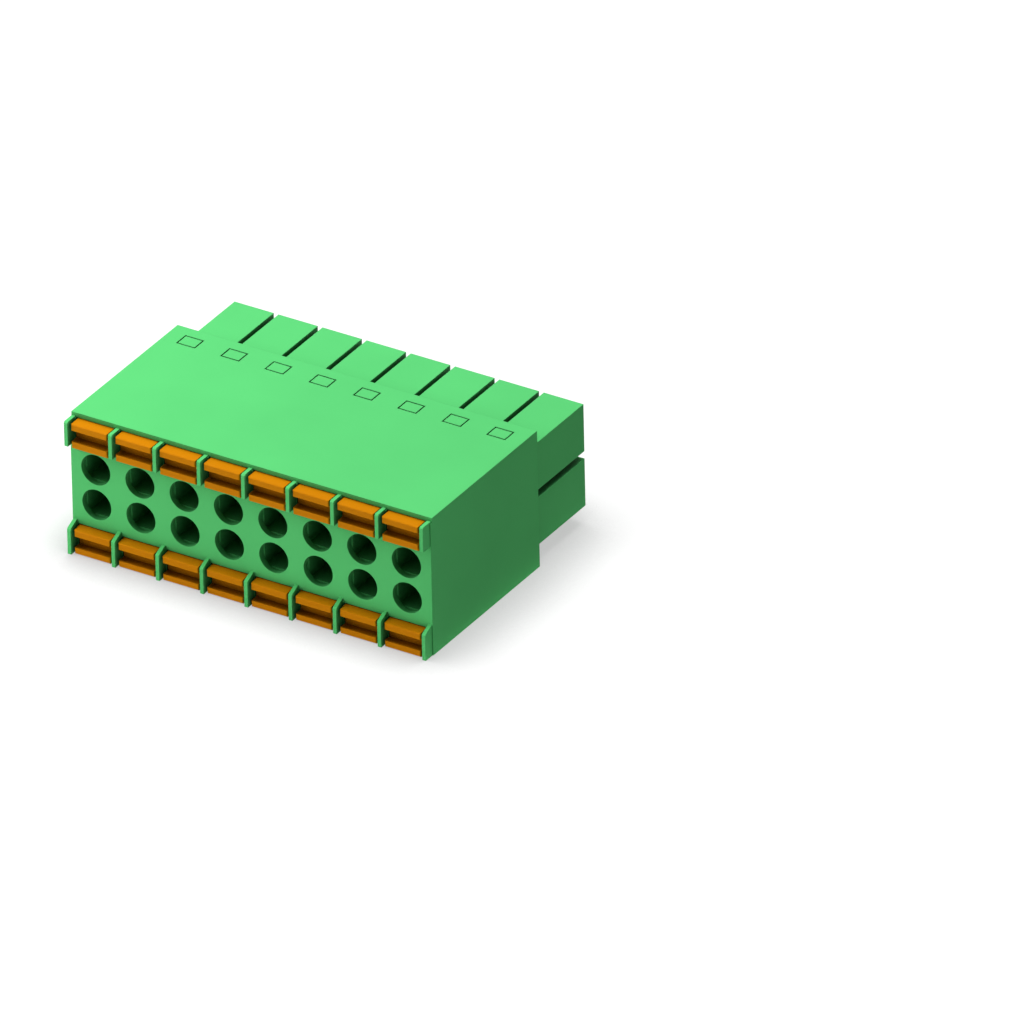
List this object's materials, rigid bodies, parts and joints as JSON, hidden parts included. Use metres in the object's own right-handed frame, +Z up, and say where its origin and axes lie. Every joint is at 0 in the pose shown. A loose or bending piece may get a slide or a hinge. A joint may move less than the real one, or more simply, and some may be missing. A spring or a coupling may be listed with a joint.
{
  "type": "pluggable terminal block",
  "caption": "Flat two-row push-in plug with wire entries and orange release buttons on one side and free-standing contact towers on the other.",
  "frame": {"origin": "centre of the bounding box in X and Y, on the flat bottom face", "axes": "+X along the row of poles, +Y the plugging direction from the wire side to the mating side, +Z up through the thickness"},
  "size_m": [0.0284, 0.0208, 0.0105],
  "materials": {
    "green_plastic": "fine matt moulded polyamide",
    "orange_plastic": "fine matt moulded polyamide",
    "spring_steel": "bright rolled stainless strip",
    "tinned_copper": "tin-plated copper alloy"
  },
  "bodies": {
    "plug": {"housing": "green_plastic", "contact_carrier": "green_plastic", "clamp_spring_upper_1": "spring_steel", "clamp_spring_upper_2": "spring_steel", "clamp_spring_upper_3": "spring_steel", "clamp_spring_upper_4": "spring_steel", "clamp_spring_upper_5": "spring_steel", "clamp_spring_upper_6": "spring_steel", "clamp_spring_upper_7": "spring_steel", "clamp_spring_upper_8": "spring_steel", "clamp_spring_lower_1": "spring_steel", "clamp_spring_lower_2": "spring_steel", "clamp_spring_lower_3": "spring_steel", "clamp_spring_lower_4": "spring_steel", "clamp_spring_lower_5": "spring_steel", "clamp_spring_lower_6": "spring_steel", "clamp_spring_lower_7": "spring_steel", "clamp_spring_lower_8": "spring_steel", "contact_upper_1": "tinned_copper", "contact_upper_2": "tinned_copper", "contact_upper_3": "tinned_copper", "contact_upper_4": "tinned_copper", "contact_upper_5": "tinned_copper", "contact_upper_6": "tinned_copper", "contact_upper_7": "tinned_copper", "contact_upper_8": "tinned_copper", "contact_lower_1": "tinned_copper", "contact_lower_2": "tinned_copper", "contact_lower_3": "tinned_copper", "contact_lower_4": "tinned_copper", "contact_lower_5": "tinned_copper", "contact_lower_6": "tinned_copper", "contact_lower_7": "tinned_copper", "contact_lower_8": "tinned_copper"},
    "button_upper_1": {"button_upper_1": "orange_plastic"},
    "button_upper_2": {"button_upper_2": "orange_plastic"},
    "button_upper_3": {"button_upper_3": "orange_plastic"},
    "button_upper_4": {"button_upper_4": "orange_plastic"},
    "button_upper_5": {"button_upper_5": "orange_plastic"},
    "button_upper_6": {"button_upper_6": "orange_plastic"},
    "button_upper_7": {"button_upper_7": "orange_plastic"},
    "button_upper_8": {"button_upper_8": "orange_plastic"},
    "button_lower_1": {"button_lower_1": "orange_plastic"},
    "button_lower_2": {"button_lower_2": "orange_plastic"},
    "button_lower_3": {"button_lower_3": "orange_plastic"},
    "button_lower_4": {"button_lower_4": "orange_plastic"},
    "button_lower_5": {"button_lower_5": "orange_plastic"},
    "button_lower_6": {"button_lower_6": "orange_plastic"},
    "button_lower_7": {"button_lower_7": "orange_plastic"},
    "button_lower_8": {"button_lower_8": "orange_plastic"}
  },
  "joints": [
    {"name": "press_upper_1", "type": "slide", "parent": "plug", "child": "button_upper_1", "axis": [0, 1, 0], "range_m": [0, 0.001], "stiffness_N_per_m": 600, "springref_m": -0.0006, "deforming": ["clamp_spring_upper_1"]},
    {"name": "press_upper_2", "type": "slide", "parent": "plug", "child": "button_upper_2", "axis": [0, 1, 0], "range_m": [0, 0.001], "stiffness_N_per_m": 600, "springref_m": -0.0006, "deforming": ["clamp_spring_upper_2"]},
    {"name": "press_upper_3", "type": "slide", "parent": "plug", "child": "button_upper_3", "axis": [0, 1, 0], "range_m": [0, 0.001], "stiffness_N_per_m": 600, "springref_m": -0.0006, "deforming": ["clamp_spring_upper_3"]},
    {"name": "press_upper_4", "type": "slide", "parent": "plug", "child": "button_upper_4", "axis": [0, 1, 0], "range_m": [0, 0.001], "stiffness_N_per_m": 600, "springref_m": -0.0006, "deforming": ["clamp_spring_upper_4"]},
    {"name": "press_upper_5", "type": "slide", "parent": "plug", "child": "button_upper_5", "axis": [0, 1, 0], "range_m": [0, 0.001], "stiffness_N_per_m": 600, "springref_m": -0.0006, "deforming": ["clamp_spring_upper_5"]},
    {"name": "press_upper_6", "type": "slide", "parent": "plug", "child": "button_upper_6", "axis": [0, 1, 0], "range_m": [0, 0.001], "stiffness_N_per_m": 600, "springref_m": -0.0006, "deforming": ["clamp_spring_upper_6"]},
    {"name": "press_upper_7", "type": "slide", "parent": "plug", "child": "button_upper_7", "axis": [0, 1, 0], "range_m": [0, 0.001], "stiffness_N_per_m": 600, "springref_m": -0.0006, "deforming": ["clamp_spring_upper_7"]},
    {"name": "press_upper_8", "type": "slide", "parent": "plug", "child": "button_upper_8", "axis": [0, 1, 0], "range_m": [0, 0.001], "stiffness_N_per_m": 600, "springref_m": -0.0006, "deforming": ["clamp_spring_upper_8"]},
    {"name": "press_lower_1", "type": "slide", "parent": "plug", "child": "button_lower_1", "axis": [0, 1, 0], "range_m": [0, 0.001], "stiffness_N_per_m": 600, "springref_m": -0.0006, "deforming": ["clamp_spring_lower_1"]},
    {"name": "press_lower_2", "type": "slide", "parent": "plug", "child": "button_lower_2", "axis": [0, 1, 0], "range_m": [0, 0.001], "stiffness_N_per_m": 600, "springref_m": -0.0006, "deforming": ["clamp_spring_lower_2"]},
    {"name": "press_lower_3", "type": "slide", "parent": "plug", "child": "button_lower_3", "axis": [0, 1, 0], "range_m": [0, 0.001], "stiffness_N_per_m": 600, "springref_m": -0.0006, "deforming": ["clamp_spring_lower_3"]},
    {"name": "press_lower_4", "type": "slide", "parent": "plug", "child": "button_lower_4", "axis": [0, 1, 0], "range_m": [0, 0.001], "stiffness_N_per_m": 600, "springref_m": -0.0006, "deforming": ["clamp_spring_lower_4"]},
    {"name": "press_lower_5", "type": "slide", "parent": "plug", "child": "button_lower_5", "axis": [0, 1, 0], "range_m": [0, 0.001], "stiffness_N_per_m": 600, "springref_m": -0.0006, "deforming": ["clamp_spring_lower_5"]},
    {"name": "press_lower_6", "type": "slide", "parent": "plug", "child": "button_lower_6", "axis": [0, 1, 0], "range_m": [0, 0.001], "stiffness_N_per_m": 600, "springref_m": -0.0006, "deforming": ["clamp_spring_lower_6"]},
    {"name": "press_lower_7", "type": "slide", "parent": "plug", "child": "button_lower_7", "axis": [0, 1, 0], "range_m": [0, 0.001], "stiffness_N_per_m": 600, "springref_m": -0.0006, "deforming": ["clamp_spring_lower_7"]},
    {"name": "press_lower_8", "type": "slide", "parent": "plug", "child": "button_lower_8", "axis": [0, 1, 0], "range_m": [0, 0.001], "stiffness_N_per_m": 600, "springref_m": -0.0006, "deforming": ["clamp_spring_lower_8"]}
  ]
}
